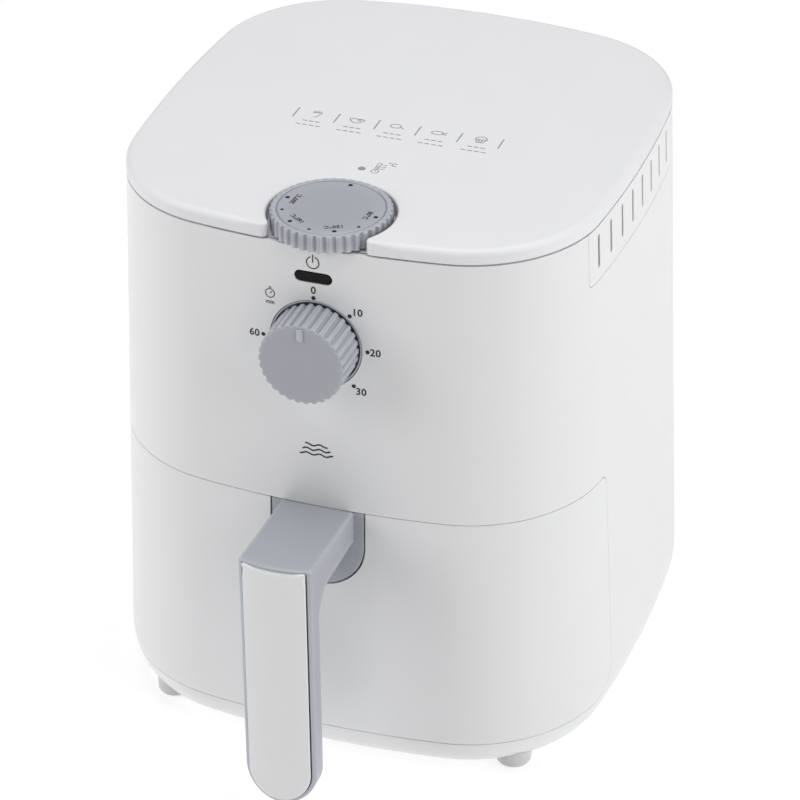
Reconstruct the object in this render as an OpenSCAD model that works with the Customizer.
// Compact air fryer: a drafted, rounded-square housing with a pull-out drawer, a timer knob on the
// front and a temperature dial in the lid. Millimetres, +Z up, front towards -Y. The origin is the
// middle of the footprint, handle included, on the surface that the feet stand on. Heights below are
// measured from the body's datum plane, which lies datum_z above that surface.

/* [Body] */
// Width of the lid
lid_w = 255; // [248:1:262]
// Depth of the lid, front to back
lid_d = 262.4; // [256:0.2:268]
// Height of the seam between body and lid
seam_z = 303; // [300:1:308]
// Draft of the body's walls, in degrees from upright
draft = 2.05; // [1.6:0.05:2.2]
// Wall of the plastic housing
wall = 2.5; // [2:0.1:3]
// Height of the lid above its seam
lid_h = 8; // [7:0.5:9]
// Height of the feet below the body
foot_h = 5.5; // [5:0.5:6]
// How far the rounded lower edge draws the wall in
base_r = 15; // [14:0.5:16]
// Height of the rounded lower edge
base_rise = 24.5; // [23.5:0.5:25.5]

/* [Drawer] */
// Height of the drawer front's upper edge
drawer_top = 155; // [154:0.5:156]
// Height of the drawer front's lower edge
drawer_low = 20; // [20:0.5:22]
// Parting gap around the drawer front
drawer_gap = 0.5; // [0.4:0.1:0.8]
// Wall of the drawer front
front_wall = 3; // [2.5:0.1:3]
// Height of the pan's rim
pan_top = 140; // [138:0.5:142]
// Sheet thickness of the pan
pan_wall = 1.5; // [1.2:0.1:2]

/* [Handle] */
// Half the width of the handle
handle_half = 19.5; // [18.5:0.5:20]
// Distance from the body's middle to the front of the handle
handle_reach = 200; // [198:0.5:202]
// Height of the handle's top where it leaves the drawer
handle_top = 154.8; // [154.2:0.1:154.9]
// How much higher the handle's top is at its front
handle_rise = 2.6; // [2:0.1:3.2]
// Height of the handle's lower end
handle_low = 11; // [9:0.5:14]

/* [Controls] */
// Radius of the timer knob
knob_r = 22.5; // [21:0.5:23]
// How far the knob's face stands in front of the lid's front edge
knob_reach = 22; // [20:0.5:24]
// Height of the timer's shaft
timer_z = 249; // [248:0.5:250]
// Radius of the temperature dial
dial_r = 30.6; // [30:0.1:31]
// Distance of the dial's shaft in front of the body's middle
dial_y = 106.3; // [105:0.1:107]

/* [Hidden] */

$fn = 64;
end_steps = 5;
corner_steps = 8;
side_steps = 4;
eps = 0.01;
fit = 0.3;

// Outline of the lid: four shallow arcs joined by four corner arcs
front_arc = 478;
back_arc = 363;
side_arc = 744;
corner_arc = 69;

datum_z = 4;
base_z = foot_h - datum_z;
fillet_z = base_z + base_rise;
lid_top = seam_z + lid_h;
lid_edge_r = 3.5;
seam_gap = 0.6;
body_back = lid_d / 2 + flare(fillet_z);
body_y = (handle_reach - body_back) / 2;

// Feet, bosses and screws stand in sets of four, this far from the middle in X and Y
foot_at = [97, 107];
foot_r = 9.5;
foot_edge_r = 3.5;
boss_at = [98, 88];
base_screw_at = [92, 60];
motor_screw_at = [17, 17];
handle_screw_x = 16;
handle_screw_z = 122;

// Drawer bay
bay_y = -59.8;
bay_lean = 0.029;
bay_top_r = 6;
bay_low_r = 20;
frame_y = -54.6;
frame_t = 2.5;
plate_z = 157.5;
plate_t = 2;
sill_z = 16.5;

// Pan and chamber share one middle, a little in front of the body's middle
pan_y = -12;
pan_inset = -25;
pan_low = 28;
pan_draft = 0.035;
pan_corner = 12;
lip_w = 5;
lip_t = 1.5;
rack_z = 46;
rack_t = 2;
liner_inset = -17;
liner_t = 1.5;
liner_low = 14.5;

// Upper works, on one vertical axis
fan_y = -13;
hood_r = 98.2;
hood_t = 1.2;
hood_low = plate_z + plate_t;
hood_top = 212;
element_z = 180;
element_r = 3.2;
element_outer = 76;
element_inner = 60;
guard_z = 168;
guard_wire = 1.2;
shaft_r = 2.5;
shaft_low = 187;
shaft_top = 262;
motor_low = 233;
motor_h = 25;
motor_r = 27;
bracket_z = 230;
bracket_t = 1.6;

// Controls
knob_face = -(lid_d / 2 + knob_reach);
knob_back = -131;
knob_flutes = 30;
seat_r = 24.2;
seat_floor = -127.5;
control_shaft_r = 3;
dial_top = lid_top + 2;
dial_low = lid_top - 7.3;
dial_flutes = 40;
well_r = 32.5;
well_floor = seam_z - 0.4;
well_t = 1.5;
lamp_x = -0.9;
lamp_z = 286.3;
lamp_w = 19.7;
lamp_h = 6;

// Vents
vent_count = 8;
vent_pitch = 16.7;
vent_first = -64.6;
vent_slot_w = 2.5;
vent_slot_low = 279.2;
vent_slot_top = 297.7;
vent_low = 272.3;
vent_front = -75.5;
vent_back = 63.2;
rear_vent_half = 40;
rear_vent_low = 172;
rear_vent_top = 206;

// Handle
insert_half = handle_half - 2.5;
plan_r = 58;
plug_half = 25;
recess_half = 25.8;
recess_mid = 134;

// Wires, and the hole in the partition that they rise through
wire_r = 1.2;
wire_x = -107;
wire_y = 93;

// Mains inlet at the back
gland_x = -30;
gland_z = 40;

// Door switch, behind the frame at the right of the drawer bay
switch_x = 120;
switch_z = 100;
panel_rear = bay_y - 1.4;
plunger_y = panel_rear + 0.3;

// ---- outline and shells ----

// How far the wall stands outside the lid's outline at a height
function flare(z) = (seam_z - z) * tan(draft);

// Middle of the corner arc that touches both shallow arcs from inside
function corner_centre(a, b, r_end, r_side, r_corner) =
    let (p0 = [0, b - r_end], p1 = [a - r_side, 0])
    let (d0 = r_end - r_corner, d1 = r_side - r_corner, span = norm(p1 - p0))
    let (along = (d0 * d0 - d1 * d1 + span * span) / (2 * span))
    let (across = sqrt(d0 * d0 - along * along), u = (p1 - p0) / span)
    p0 + along * u + across * [-u.y, u.x] * -1;

function arc(centre, r, from, to, steps, first = 0) =
    [for (i = [first:steps]) let (t = from + (to - from) * i / steps)
        centre + r * [cos(t), sin(t)]];

// One quarter, from the +Y end round to the +X side
function quarter(a, b, r_end, r_side, r_corner) =
    let (p0 = [0, b - r_end], p1 = [a - r_side, 0])
    let (c = corner_centre(a, b, r_end, r_side, r_corner))
    let (t0 = atan2(c.y - p0.y, c.x - p0.x), t1 = atan2(c.y - p1.y, c.x - p1.x))
    concat(
        arc(p0, r_end, 90, t0, end_steps),
        arc(c, r_corner, t0, t1, corner_steps, 1),
        arc(p1, r_side, t1, 0, side_steps, 1));

function flipped(points, sx, sy) = [for (p = points) [p.x * sx, p.y * sy]];
function backwards(points) = [for (i = [len(points) - 1:-1:0]) points[i]];
function without_first(points) = [for (i = [1:len(points) - 1]) points[i]];

// Whole outline, moved outwards by grow, anticlockwise from above
function outline(grow = 0) =
    let (a = lid_w / 2 + grow, b = lid_d / 2 + grow)
    let (side = side_arc + grow, corner = corner_arc + grow)
    let (back = quarter(a, b, back_arc + grow, side, corner))
    let (front = quarter(a, b, front_arc + grow, side, corner))
    concat(
        backwards(back),
        without_first(flipped(back, -1, 1)),
        without_first(backwards(flipped(front, -1, -1))),
        without_first(backwards(without_first(backwards(flipped(front, 1, -1))))));

function ring(z, grow) = [for (p = outline(grow)) [p.x, p.y, z]];

// Solid through a stack of rings, lowest first
module loft(rings) {
    n = len(rings[0]);
    polyhedron(
        points = [for (r = rings) each r],
        faces = concat(
            [[for (i = [0:n - 1]) i]],
            [for (k = [0:len(rings) - 2], i = [0:n - 1])
                [k * n + i, (k + 1) * n + i, (k + 1) * n + (i + 1) % n, k * n + (i + 1) % n]],
            [[for (i = [n - 1:-1:0]) (len(rings) - 1) * n + i]]),
        convexity = 6);
}

// Upright solid on the outline
module prism(low, high, grow) {
    translate([0, 0, low]) linear_extrude(high - low) polygon(outline(grow));
}

// The body's outer form, moved inwards by inset
module body_solid(inset = 0, top = seam_z) {
    across = base_r - inset;
    rise = base_rise - inset;
    loft(concat(
        [for (t = [90:-22.5:0])
            ring(fillet_z - rise * sin(t), flare(fillet_z) - inset - across * (1 - cos(t)))],
        [ring(top, flare(top) - inset)]));
}

module lid_solid(inset = 0, low = seam_z + seam_gap) {
    r = lid_edge_r;
    loft(concat(
        [ring(low, -inset)],
        [for (t = [0:30:90])
            ring(lid_top - inset - r + r * sin(t), -inset - r * (1 - cos(t)))]));
}

// Wall band of the body, for skins that lie flush in it
module body_band(thick = wall) {
    difference() {
        body_solid();
        body_solid(thick, seam_z + 1);
    }
}

// Moves a piece from the body's middle to its place from the origin
module placed() {
    translate([0, body_y, datum_z]) children();
}

// One copy in each quarter of the plan
module four_times(at) {
    for (x = [-1, 1], y = [-1, 1]) translate([x * at.x, y * at.y, 0]) children();
}

module box(x, y, z) {
    translate([x[0], y[0], z[0]]) cube([x[1] - x[0], y[1] - y[0], z[1] - z[0]]);
}

// Cylinder along Y, from y0 to y1
module rod_y(r, y0, y1, x = 0, z = 0) {
    translate([x, y1, z]) rotate([90, 0, 0]) cylinder(r = r, h = y1 - y0);
}

// Outline in X and Z, extruded along Y
module along_y(y0, y1) {
    translate([0, y1, 0]) rotate([90, 0, 0]) linear_extrude(y1 - y0) children();
}

// Outline in Y and Z, extruded along X
module along_x(half) {
    rotate([90, 0, 90]) translate([0, 0, -half]) linear_extrude(2 * half) children();
}

// Flat bar with round ends
module pill(w, h) {
    r = h / 2;
    union() {
        square([w - h, h], center = true);
        for (s = [-1, 1]) translate([s * (w / 2 - r), 0]) circle(r = r);
    }
}

// Straight stretches of round wire through a list of points
module wire(route, r = wire_r) {
    union() {
        for (i = [0:len(route) - 2]) {
            step = route[i + 1] - route[i];
            length = norm(step);
            translate(route[i])
                rotate([0, acos(step.z / length), atan2(step.y, step.x)])
                    cylinder(r = r, h = length, $fn = 16);
        }
        for (i = [1:len(route) - 2]) translate(route[i]) sphere(r = r * 1.15, $fn = 16);
    }
}

// ---- drawer bay ----

// Side view of the drawer front: upright rear edge with two rounded corners
module bay_profile(gap = 0) {
    reach = 220;
    low_y = bay_y + bay_lean * (drawer_top - drawer_low);
    hull() {
        translate([bay_y - bay_top_r, drawer_top - bay_top_r]) circle(r = bay_top_r + gap);
        translate([low_y - bay_low_r, drawer_low + bay_low_r]) circle(r = bay_low_r + gap);
        translate([-reach, drawer_low - gap]) square([1, drawer_top - drawer_low + 2 * gap]);
    }
}

// Front view of the recess that the handle's root fills
module recess_outline(half) {
    union() {
        translate([0, recess_mid]) circle(r = half);
        translate([-half, recess_mid]) square([2 * half, drawer_top + 2 - recess_mid]);
    }
}

// Outline of the pan, moved outwards by grow
module pan_prism(low, high, grow) {
    translate([0, pan_y, 0]) prism(low, high, pan_inset + grow);
}

// ---- housing ----

module side_vent_outline(gap = 0) {
    // in Y and Z
    r = 3;
    translate([vent_front - gap, vent_low - gap])
        union() {
            translate([r, 0]) square([vent_back - vent_front + 2 * gap - 2 * r, seam_z]);
            translate([0, r]) square([vent_back - vent_front + 2 * gap, seam_z]);
            for (y = [r, vent_back - vent_front + 2 * gap - r]) translate([y, r]) circle(r = r);
        }
}

module side_vent_block(gap = 0) {
    // right-hand side only
    translate([lid_w / 4 + 35, 0, 0]) along_x(40) side_vent_outline(gap);
}

module vent_slots() {
    for (i = [0:vent_count - 1])
        translate([lid_w / 2, vent_first + i * vent_pitch, (vent_slot_low + vent_slot_top) / 2])
            rotate([90, 0, 90])
                translate([0, 0, -20]) linear_extrude(40)
                    rotate(90) pill(vent_slot_top - vent_slot_low, vent_slot_w);
}

module rear_vent_block(gap = 0) {
    box([-rear_vent_half - gap, rear_vent_half + gap], [100, 160],
        [rear_vent_low - gap, rear_vent_top + gap]);
}

module body_shell() {
    color("white") placed() difference() {
        body_band();
        along_x(200) bay_profile(drawer_gap);
        prism(base_z - 1, base_z + wall + 1, -26);
        for (s = [0, 1]) mirror([s, 0, 0]) side_vent_block(0.25);
        rear_vent_block(0.25);
        rod_y(seat_r + 0.3, -140, -120, 0, timer_z);
        along_y(-140, -120) translate([lamp_x, lamp_z]) pill(lamp_w + 0.3, lamp_h + 0.3);
        rod_y(8.2, 125, 150, gland_x, gland_z);
        rod_y(11.4, 138.6, 150, gland_x, gland_z);
    }
}

// Cup that the temperature dial turns in; it drops a little below the seam
module dial_well() {
    low = well_floor - well_t;
    intersection() {
        union() {
            lid_solid();
            prism(low, seam_z + seam_gap + 1, -wall - 0.6);
        }
        translate([0, -dial_y, low]) cylinder(r = well_r + 2, h = lid_top - 1 - low);
    }
}

module top_cover() {
    color("white") placed() difference() {
        union() {
            difference() {
                lid_solid();
                loft([ring(seam_z, -wall), ring(lid_top - wall, -wall)]);
            }
            difference() {
                prism(seam_z - 4, lid_top - 1, -wall - 0.6);
                prism(seam_z - 5, lid_top, -wall - 2.1);
                box([-40, 40], [-150, -100], [seam_z - 5, seam_z + 1]);
            }
            dial_well();
            four_times(boss_at) translate([0, 0, seam_z - 22]) cylinder(r = 4, h = 28);
        }
        translate([0, -dial_y, well_floor]) cylinder(r = well_r, h = 20);
        translate([0, -dial_y, well_floor - well_t - 1]) cylinder(r = 4.5, h = 10);
        four_times(boss_at) translate([0, 0, seam_z - 23]) cylinder(r = 1.6, h = 20);
    }
}

module base_cover() {
    color("gainsboro") placed() difference() {
        union() {
            prism(base_z + wall, base_z + wall + 2, -22);
            prism(base_z + 0.5, base_z + wall + 1, -27);
        }
        for (x = [-1, 1], i = [-3:3])
            translate([x * 48, i * 14, base_z]) linear_extrude(8) pill(56, 4);
        four_times(base_screw_at) translate([0, 0, base_z]) cylinder(r = 1.8, h = 8);
    }
}

// Round foot that reaches up to the rounded edge above it
module foot() {
    rotate_extrude() polygon(concat(
        [[0, 0]],
        arc([foot_r - foot_edge_r, foot_edge_r], foot_edge_r, -90, 0, 5),
        [[foot_r, foot_h + 6], [0, foot_h + 6]]));
}

module feet() {
    color("gainsboro") placed() difference() {
        four_times(foot_at) translate([0, 0, -datum_z]) foot();
        body_solid(-2 * eps);
    }
}

module pan_head_screw(head_r, shank_r, shank_h) {
    // head at the bottom, shank upwards
    union() {
        cylinder(r = head_r, h = 1.6);
        translate([0, 0, 1]) cylinder(r = shank_r, h = shank_h);
    }
}

module base_screws() {
    color("silver") placed() four_times(base_screw_at)
        translate([0, 0, base_z - 1.2]) pan_head_screw(3.2, 1.5, 8);
}

module lid_screws() {
    color("silver") placed() four_times(boss_at)
        translate([0, 0, seam_z - 24.2]) pan_head_screw(3.4, 1.3, 12);
}

module vent_grille() {
    difference() {
        intersection() {
            body_band();
            side_vent_block();
        }
        vent_slots();
    }
}

module vent_grille_right() {
    color("white") placed() vent_grille();
}

module vent_grille_left() {
    color("white") placed() mirror([1, 0, 0]) vent_grille();
}

module rear_vent_grille() {
    color("white") placed() difference() {
        intersection() {
            body_band();
            rear_vent_block();
        }
        for (i = [0:6])
            along_y(100, 160) translate([0, rear_vent_low + 5 + i * 4]) pill(2 * rear_vent_half - 8, 2);
    }
}

module cord_gland() {
    color("gainsboro") placed() difference() {
        union() {
            rod_y(7.9, 130, 139.8, gland_x, gland_z);
            rod_y(11, 138.8, 140.4, gland_x, gland_z);
            rod_y(11, 130, 135, gland_x, gland_z);
        }
        rod_y(3.6, 120, 150, gland_x, gland_z);
    }
}

module front_frame() {
    color("white") placed() difference() {
        union() {
            intersection() {
                body_solid(wall + 0.4);
                box([-200, 200], [frame_y, frame_y + frame_t], [base_z + wall + 3, plate_z - 0.2]);
            }
            intersection() {
                body_solid(wall + 0.4);
                box([-200, 200], [-200, frame_y + frame_t], [sill_z, sill_z + 2]);
            }
        }
        box([-113, 113], [frame_y - 1, frame_y + frame_t + 1], [sill_z + 2, plate_z + 1]);
        rod_y(3.6, frame_y - 1, frame_y + 5, switch_x, switch_z);
    }
}

module partition_plate() {
    color("white") placed() difference() {
        prism(plate_z, plate_z + plate_t, flare(plate_z + plate_t) - wall - 0.4);
        translate([0, fan_y, plate_z - 1]) cylinder(r = hood_r - 1.2, h = 5, $fn = 96);
        translate([wire_x, wire_y, plate_z - 1]) cylinder(r = 7.5, h = 5);
    }
}

module chamber_liner() {
    color("silver") placed() difference() {
        translate([0, pan_y, 0]) prism(liner_low, plate_z - 0.2, liner_inset + liner_t);
        translate([0, pan_y, 0]) prism(liner_low + liner_t, plate_z + 1, liner_inset);
        box([-200, 200], [-200, frame_y + frame_t + 0.3], [0, 200]);
    }
}

module drawer_rail() {
    top = pan_top - lip_t - fit;
    intersection() {
        pan_prism(top - 4, top, liner_inset - pan_inset - 0.1);
        box([lid_w / 2 + pan_inset + 1.2, 120], [frame_y + 4, 50], [0, 200]);
    }
}

module drawer_rail_right() {
    color("silver") placed() drawer_rail();
}

module drawer_rail_left() {
    color("silver") placed() mirror([1, 0, 0]) drawer_rail();
}

// ---- heater and fans ----

module on_fan_axis(z = 0) {
    translate([0, fan_y, z]) children();
}

module heater_hood() {
    inner = hood_r;
    outer = hood_r + hood_t;
    color("silver") placed() on_fan_axis() difference() {
        rotate_extrude($fn = 96) polygon([
            [inner, hood_low], [inner + 9, hood_low], [inner + 9, hood_low + hood_t],
            [outer, hood_low + hood_t], [outer, hood_top - 10], [outer - 8.4, hood_top],
            [6, hood_top], [6, hood_top - hood_t], [inner - 7.8, hood_top - hood_t],
            [inner, hood_top - 10.5]]);
        box([-28, 28], [60, 120], [178, 198]);
        for (x = [-8, 8]) translate([x, element_outer - 4, 200]) cylinder(r = 4.4, h = 20);
        translate([30, -77, 200]) cylinder(r = 2, h = 20);
    }
}

// Two open rings joined at one end, with two terminals that pass up through the hood
module heating_element() {
    gap_angle = 12;
    post_y = element_outer - 4;
    color("dimgray") placed() on_fan_axis(element_z) union() {
        for (r = [element_outer, element_inner])
            rotate([0, 0, 90 + gap_angle])
                rotate_extrude(angle = 360 - 2 * gap_angle, $fn = 96)
                    translate([r, 0]) circle(r = element_r, $fn = 24);
        for (side = [-1, 1]) {
            a = 90 + side * gap_angle;
            for (r = [element_outer, element_inner])
                translate([r * cos(a), r * sin(a), 0]) sphere(r = element_r + 0.3, $fn = 24);
        }
        wire([
            [element_outer * cos(90 - gap_angle), element_outer * sin(90 - gap_angle), 0],
            [element_inner * cos(90 - gap_angle), element_inner * sin(90 - gap_angle), 0]],
            element_r - 0.2);
        wire([
            [element_outer * cos(90 + gap_angle), element_outer * sin(90 + gap_angle), 0],
            [-8, post_y, 8], [-8, post_y, 42]], element_r - 0.2);
        wire([
            [element_inner * cos(90 + gap_angle), element_inner * sin(90 + gap_angle), 0],
            [8, post_y, 12], [8, post_y, 42]], element_r - 0.2);
    }
}

module element_clips() {
    color("silver") placed() on_fan_axis() for (a = [30, 150, 210, 330]) rotate([0, 0, a])
        union() {
            box([54, 82], [-4, 4], [element_z + element_r + 0.3, element_z + element_r + 1.3]);
            box([66, 68], [-4, 4], [element_z + element_r + 0.3, hood_top - hood_t - 0.2]);
        }
}

module element_guard() {
    color("silver") placed() on_fan_axis(guard_z) union() {
        for (r = [28, 58, 88])
            rotate_extrude($fn = 96) translate([r, 0]) circle(r = guard_wire, $fn = 16);
        for (a = [0, 60, 120]) rotate([0, 90, a])
            translate([0, 0, -hood_r + 0.5]) cylinder(r = guard_wire - 0.15, h = 2 * hood_r - 1, $fn = 16);
    }
}

module exhaust_duct() {
    back = lid_d / 2 + flare(210) - wall - 3;
    color("silver") placed() difference() {
        box([-36, 36], [fan_y + hood_r + hood_t + 0.4, back], [174, 204]);
        box([-34.5, 34.5], [60, 200], [175.5, 202.5]);
    }
}

module hot_air_fan() {
    blades = 8;
    color("silver") placed() on_fan_axis() difference() {
        union() {
            translate([0, 0, 190]) cylinder(r = 9, h = 14);
            translate([0, 0, 203]) cylinder(r = 54, h = 1.2);
            for (i = [0:blades - 1]) rotate([0, 0, i * 360 / blades])
                translate([6, 0, 191]) rotate([0, 0, 12]) translate([0, -0.6, 0]) cube([44, 1.2, 12.5]);
        }
        translate([0, 0, 180]) cylinder(r = shaft_r, h = 40);
    }
}

module cooling_fan() {
    blades = 6;
    color("dimgray") placed() on_fan_axis() difference() {
        union() {
            translate([0, 0, 215]) cylinder(r = 10, h = 11);
            for (i = [0:blades - 1]) rotate([0, 0, i * 360 / blades])
                translate([6, 0, 220.5]) rotate([28, 0, 0]) translate([0, -8, -0.6]) cube([36, 16, 1.2]);
        }
        translate([0, 0, 200]) cylinder(r = shaft_r, h = 40);
    }
}

module motor_shaft() {
    color("silver") placed() on_fan_axis(shaft_low) cylinder(r = shaft_r, h = shaft_top - shaft_low);
}

module motor() {
    color("dimgray") placed() on_fan_axis() difference() {
        union() {
            translate([0, 0, motor_low]) cylinder(r = motor_r, h = motor_h);
            translate([0, 0, motor_low + 5]) cylinder(r = motor_r + 5, h = motor_h - 12);
            translate([0, 0, bracket_z + bracket_t]) cylinder(r = 8, h = motor_h + 4);
            four_times(motor_screw_at) translate([0, 0, bracket_z + bracket_t]) cylinder(r = 3.5, h = 3);
        }
        translate([0, 0, 220]) cylinder(r = shaft_r + 0.06, h = 60);
        four_times(motor_screw_at) translate([0, 0, bracket_z]) cylinder(r = 1.5, h = 12);
    }
}

module motor_bracket() {
    foot_z = plate_z + plate_t;
    color("silver") placed() on_fan_axis() difference() {
        union() {
            box([-117, 117], [-25, 25], [bracket_z, bracket_z + bracket_t]);
            for (s = [-1, 1]) {
                box([s * 116.2 - 0.8, s * 116.2 + 0.8], [-25, 25], [foot_z, bracket_z + 1]);
                box([s * 120 - 4, s * 120 + 4], [-25, 25], [foot_z, foot_z + bracket_t]);
            }
        }
        translate([0, 0, 220]) cylinder(r = 12, h = 20);
        four_times(motor_screw_at) translate([0, 0, 220]) cylinder(r = 1.7, h = 20);
        four_times([78, 8]) translate([0, 0, 220]) cylinder(r = 9, h = 20);
    }
}

module motor_screws() {
    color("silver") placed() on_fan_axis() four_times(motor_screw_at)
        translate([0, 0, bracket_z - 1.6]) pan_head_screw(2.8, 1.3, 8);
}

// ---- controls ----

module timer_unit() {
    color("ivory") placed() difference() {
        union() {
            box([-26, 26], [-118, -90], [timer_z - 22, timer_z + 22]);
            rod_y(7, -125.2, -117, 0, timer_z);
        }
        rod_y(control_shaft_r + 0.06, -130, -100, 0, timer_z);
    }
}

module timer_bell() {
    color("silver") placed() difference() {
        translate([0, -89.6, timer_z]) rotate([-90, 0, 0]) cylinder(r1 = 19, r2 = 15, h = 7);
        translate([0, -90, timer_z]) rotate([-90, 0, 0]) cylinder(r1 = 17.8, r2 = 13.8, h = 6.2);
    }
}

module timer_shaft() {
    color("silver") placed() rod_y(control_shaft_r, knob_face + 6, -101, 0, timer_z);
}

module timer_knob() {
    depth = knob_back - knob_face;
    color("darkgray") placed() translate([0, knob_back, timer_z]) rotate([90, 0, 0]) difference() {
        union() {
            rotate_extrude() polygon([
                [0, 0], [knob_r, 0], [knob_r, depth - 1.8], [knob_r - 0.6, depth - 0.6],
                [knob_r - 1.8, depth], [0, depth]]);
            translate([-1.2, knob_r - 10, depth - 1]) cube([2.4, 7, 1.8]);
        }
        for (i = [0:knob_flutes - 1]) rotate([0, 0, (i + 0.5) * 360 / knob_flutes])
            translate([knob_r + 0.6, 0, -1]) cylinder(r = 1.5, h = depth - 1, $fn = 24);
        translate([0, 0, -1]) cylinder(r = knob_r - 3, h = 8);
        translate([0, 0, -1]) cylinder(r = control_shaft_r, h = depth - 5);
    }
}

module timer_seat() {
    color("darkgray") placed() difference() {
        intersection() {
            rod_y(seat_r, -140, seat_floor + 1.5, 0, timer_z);
            body_solid(0.2);
        }
        rod_y(seat_r - 0.9, -150, seat_floor, 0, timer_z);
        rod_y(control_shaft_r + 1.2, -150, -120, 0, timer_z);
    }
}

module control_bracket() {
    color("silver") placed() difference() {
        union() {
            box([-36, 36], [-123.6, -122.2], [222, 279]);
            box([-36, 36], [-123.6, -92], [278, 279.4]);
        }
        rod_y(7.6, -130, -110, 0, timer_z);
    }
}

module thermostat_unit() {
    color("ivory") placed() difference() {
        union() {
            box([-17, 17], [-dial_y - 13, -dial_y + 13], [279.7, 296]);
            translate([0, -dial_y, 290]) cylinder(r = 7, h = 10);
        }
        translate([0, -dial_y, 285]) cylinder(r = control_shaft_r + 0.06, h = 30);
    }
}

module thermostat_shaft() {
    low = 286;
    color("silver") placed() translate([0, -dial_y, low])
        cylinder(r = control_shaft_r, h = dial_top - 3 - low);
}

module temperature_dial() {
    h = dial_top - dial_low;
    color("darkgray") placed() translate([0, -dial_y, dial_low]) difference() {
        rotate_extrude() polygon([
            [0, 0], [dial_r, 0], [dial_r, h - 1.6], [dial_r - 0.8, h - 0.8], [27.6, h],
            [27.3, h - 0.5], [26.9, h - 0.5], [26.6, h], [0, h]]);
        for (i = [0:dial_flutes - 1]) rotate([0, 0, (i + 0.5) * 360 / dial_flutes])
            translate([dial_r + 0.9, 0, -1]) cylinder(r = 1.8, h = h - 0.4, $fn = 24);
        translate([0, 0, -1]) cylinder(r = control_shaft_r, h = h - 2);
    }
}

// Sensing bulb inside the hood, with its thin tube up to the thermostat
module temperature_sensor() {
    x = 30;
    y = fan_y - 77;
    color("peru") placed() union() {
        translate([8, y, 174]) rotate([0, 90, 0]) cylinder(r = 2.2, h = 24, $fn = 24);
        wire([[x, y, 174], [x, y, 284], [17.3, y - 6, 284]], 0.9);
    }
}

module power_lamp_lens() {
    color("black") placed() union() {
        intersection() {
            along_y(-140, -129) translate([lamp_x, lamp_z]) pill(lamp_w, lamp_h);
            body_solid(0.4);
        }
        along_y(-129.2, -127.6) translate([lamp_x, lamp_z]) pill(lamp_w - 3, lamp_h - 3);
    }
}

module power_lamp() {
    color("orange") placed() union() {
        rod_y(2.5, -127.4, -121, lamp_x, lamp_z);
        box([lamp_x - 5, lamp_x + 5], [-121.5, -120], [lamp_z - 3.5, lamp_z + 3.5]);
    }
}

module thermal_fuse() {
    color("silver") placed() union() {
        translate([52, 20, hood_top + 0.2]) cylinder(r = 8, h = 2);
        translate([52, 20, hood_top + 1]) cylinder(r = 6, h = 7);
        for (s = [-1, 1]) box([52 + s * 3 - 1, 52 + s * 3 + 1], [17, 23], [hood_top + 7, hood_top + 14]);
    }
}

module terminal_block() {
    color("ivory") placed() difference() {
        box([-78, -54], [109, 126], [30, 46]);
        for (i = [-1:1]) translate([-66 + i * 7, 117.5, 40]) cylinder(r = 2, h = 10);
    }
}

module wiring() {
    // terminal block to heater, to timer and to motor; fuse to heater; fuse to thermostat
    color("firebrick") placed() union() {
        wire([[-73, 117.5, 41], [-73, 117.5, 150], [wire_x + 3, wire_y, 152],
            [wire_x + 3, wire_y, 215], [-8, 64, 228], [-8, 59, 223]]);
        wire([[-66, 117.5, 41], [-66, 117.5, 144], [wire_x, wire_y, 146], [wire_x, wire_y, 219],
            [-90, 20, 219], [-80, -60, 219], [-27.5, -100, 240]]);
        wire([[-59, 117.5, 41], [-59, 117.5, 138], [wire_x - 3, wire_y, 140],
            [wire_x - 3, wire_y, 238], [-50, 40, 240], [-34, -13, 247]]);
        wire([[49, 25, 224], [40, 40, 234], [8, 66, 234], [8, 59, 223]]);
        wire([[57.5, 20, 224], [66, 16, 236], [66, -40, 242], [40, -84, 286], [18.5, -100, 290]]);
    }
}

// ---- door switch ----

module door_switch() {
    color("ivory") placed() difference() {
        box([switch_x - 4.6, switch_x + 4.6], [frame_y + 10, frame_y + 30],
            [switch_z - 7, switch_z + 7]);
        rod_y(2.6, frame_y, frame_y + 24, switch_x, switch_z);
    }
}

module switch_plunger() {
    color("crimson") placed() union() {
        rod_y(3, plunger_y, frame_y + 6, switch_x, switch_z);
        rod_y(1.5, frame_y + 5, frame_y + 16, switch_x, switch_z);
    }
}

module switch_spring() {
    turns = 5;
    color("silver") placed() for (i = [0:turns - 1])
        translate([switch_x, frame_y + 12 + i * 2, switch_z]) rotate([90, 0, 0])
            rotate_extrude($fn = 32) translate([2.1, 0]) circle(r = 0.25, $fn = 16);
}

// ---- drawer ----

module drawer_front() {
    color("white") placed() difference() {
        intersection() {
            body_band(front_wall);
            along_x(200) bay_profile();
        }
        along_y(-160, -110) recess_outline(recess_half);
    }
}

module drawer_inner_panel() {
    top = drawer_top - 3.8;
    t = 2.4;
    color("white") placed() difference() {
        intersection() {
            body_solid(front_wall + 0.3);
            box([-200, 200], [-200, panel_rear], [drawer_low + 4, top]);
        }
        pan_prism(0, 200, lip_w + 1);
        intersection() {
            body_solid(front_wall + 0.3 - eps);
            difference() {
                box([-200, 200], [-200, panel_rear - t], [0, top - t]);
                pan_prism(-1, 200, lip_w + 1 + t);
            }
        }
        box([-27, 27], [-200, -127.6], [90, 200]);
        box([-40, 40], [-200, -100], [98, top - t]);
    }
}

module pan() {
    color("dimgray") placed() translate([0, pan_y, 0]) difference() {
        union() {
            pan_body(0, pan_top);
            prism(pan_top - lip_t, pan_top, pan_inset + lip_w);
        }
        pan_body(pan_wall, pan_top + 1);
    }
}

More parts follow.
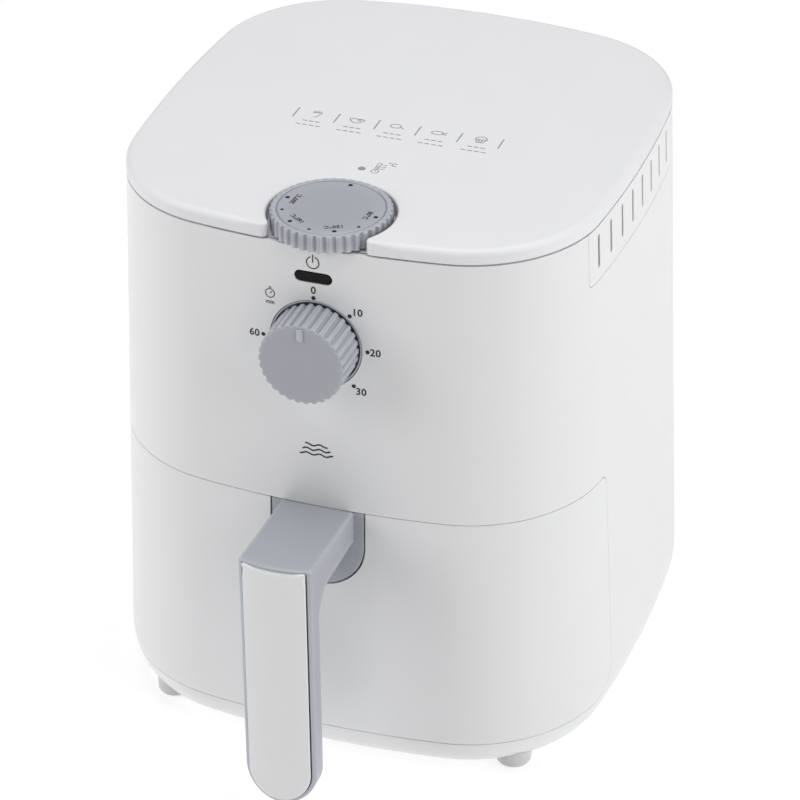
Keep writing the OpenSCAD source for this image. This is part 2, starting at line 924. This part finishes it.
// Tapered bowl with a rounded lower edge, moved inwards by inset
module pan_body(inset, top) {
    r = pan_corner - inset;
    z0 = pan_low + pan_corner;
    g0 = pan_inset - pan_draft * (pan_top - z0) - inset;
    loft(concat(
        [for (t = [90:-30:0]) ring(z0 - r * sin(t), g0 - r * (1 - cos(t)))],
        [ring(top, g0 + pan_draft * (top - z0))]));
}

module pan_bracket() {
    color("silver") placed() difference() {
        union() {
            box([-38, 38], [-128.4, -126.8], [102, 136]);
            for (s = [-1, 1]) {
                box([s * 37.2 - 0.8, s * 37.2 + 0.8], [-128.4, -117.6], [102, 136]);
                box([s * 32 - 6, s * 32 + 6], [-119.2, -117.6], [102, 136]);
            }
        }
        for (s = [-1, 1]) rod_y(2.2, -130, -120, s * handle_screw_x, handle_screw_z);
    }
}

module crisper_plate() {
    pitch = 15;
    rows = 5;
    leg_at = [62, 62];
    leg_low = pan_low + pan_wall + 0.1;
    color("dimgray") placed() translate([0, pan_y, 0]) difference() {
        union() {
            prism(rack_z, rack_z + rack_t, pan_inset - 7);
            four_times(leg_at) translate([0, 0, leg_low]) cylinder(r = 4, h = rack_z + 0.6 - leg_low);
        }
        for (j = [-rows:rows], i = [-rows:rows]) {
            x = (i + (abs(j) % 2) / 2) * pitch;
            y = j * pitch * 0.87;
            if (norm([x, y]) < 80 && norm([abs(x) - leg_at.x, abs(y) - leg_at.y]) > 9)
                translate([x, y, rack_z - 1]) cylinder(r = 4, h = 5, $fn = 24);
        }
    }
}

module plate_bumpers() {
    low = rack_z - 3;
    high = rack_z + 5;
    color("dimgray") placed() intersection() {
        difference() {
            pan_prism(low, high, -5.4);
            pan_prism(low - 1, high + 1, -6.95);
        }
        translate([0, pan_y, 0]) union() {
            box([-200, 200], [-7, 7], [low, high]);
            box([-7, 7], [-200, 200], [low, high]);
        }
    }
}

// ---- handle ----

// Side view of bridge and grip, in Y and Z
module handle_side() {
    back = -129.4;
    front = -(handle_reach - 1.2);
    grip_back = front + 13.8;
    under = 136.5;
    bend = 15;
    top = handle_top + handle_rise;
    polygon(concat(
        [[back, under], [back, handle_top], [front + 1.5, top], [front, top - 1.5],
            [front, handle_low - 1], [grip_back, handle_low - 1]],
        arc([grip_back + bend, under - bend], bend, 180, 90, 8)));
}

// Front view of the grip: straight sides and a half-round lower end, in X and Z
module grip_outline(half, low, top) {
    union() {
        translate([0, low + half]) circle(r = half);
        translate([-half, low + half]) square([2 * half, top - low - half]);
    }
}

// Everything behind a gently bowed front, in plan
module bowed_front(front) {
    translate([0, -front + plan_r, 0]) cylinder(r = plan_r, h = 200, $fn = 96);
}

module handle_frame() {
    dish_r = 49;
    top = handle_top + handle_rise;
    color("darkgray") placed() difference() {
        union() {
            difference() {
                intersection() {
                    along_y(-160, -129.4) intersection() {
                        recess_outline(plug_half);
                        translate([-40, 90]) square([80, handle_top - 90]);
                    }
                    body_solid(0.4);
                }
                translate([0, -132.5 - dish_r, recess_mid]) sphere(r = dish_r);
                translate([0, -132.5 - dish_r, recess_mid]) cylinder(r = dish_r, h = 60);
            }
            intersection() {
                along_x(handle_half) handle_side();
                along_y(-210, -120) grip_outline(handle_half, handle_low, top + 1);
                bowed_front(handle_reach - 1.2);
            }
        }
        along_y(-210, -(handle_reach - 5))
            grip_outline(insert_half + 0.25, handle_low + 2.2, top - 0.9);
        for (s = [-1, 1]) rod_y(1.6, -138, -120, s * handle_screw_x, handle_screw_z);
    }
}

module handle_insert() {
    top = handle_top + handle_rise - 1.2;
    color("white") placed() intersection() {
        along_y(-210, -(handle_reach - 4.8)) grip_outline(insert_half, handle_low + 2.5, top);
        bowed_front(handle_reach);
    }
}

module handle_screws() {
    color("silver") placed() for (s = [-1, 1])
        translate([s * handle_screw_x, -125, handle_screw_z]) rotate([90, 0, 0]) pan_head_screw(3.4, 1.4, 9);
}

body_shell();
top_cover();
base_cover();
feet();
base_screws();
lid_screws();
vent_grille_right();
vent_grille_left();
rear_vent_grille();
cord_gland();
front_frame();
partition_plate();
chamber_liner();
drawer_rail_right();
drawer_rail_left();
heater_hood();
heating_element();
element_clips();
element_guard();
exhaust_duct();
hot_air_fan();
cooling_fan();
motor_shaft();
motor();
motor_bracket();
motor_screws();
timer_unit();
timer_bell();
timer_shaft();
timer_knob();
timer_seat();
control_bracket();
thermostat_unit();
thermostat_shaft();
temperature_dial();
temperature_sensor();
power_lamp_lens();
power_lamp();
thermal_fuse();
terminal_block();
wiring();
door_switch();
switch_plunger();
switch_spring();
drawer_front();
drawer_inner_panel();
pan();
pan_bracket();
crisper_plate();
plate_bumpers();
handle_frame();
handle_insert();
handle_screws();
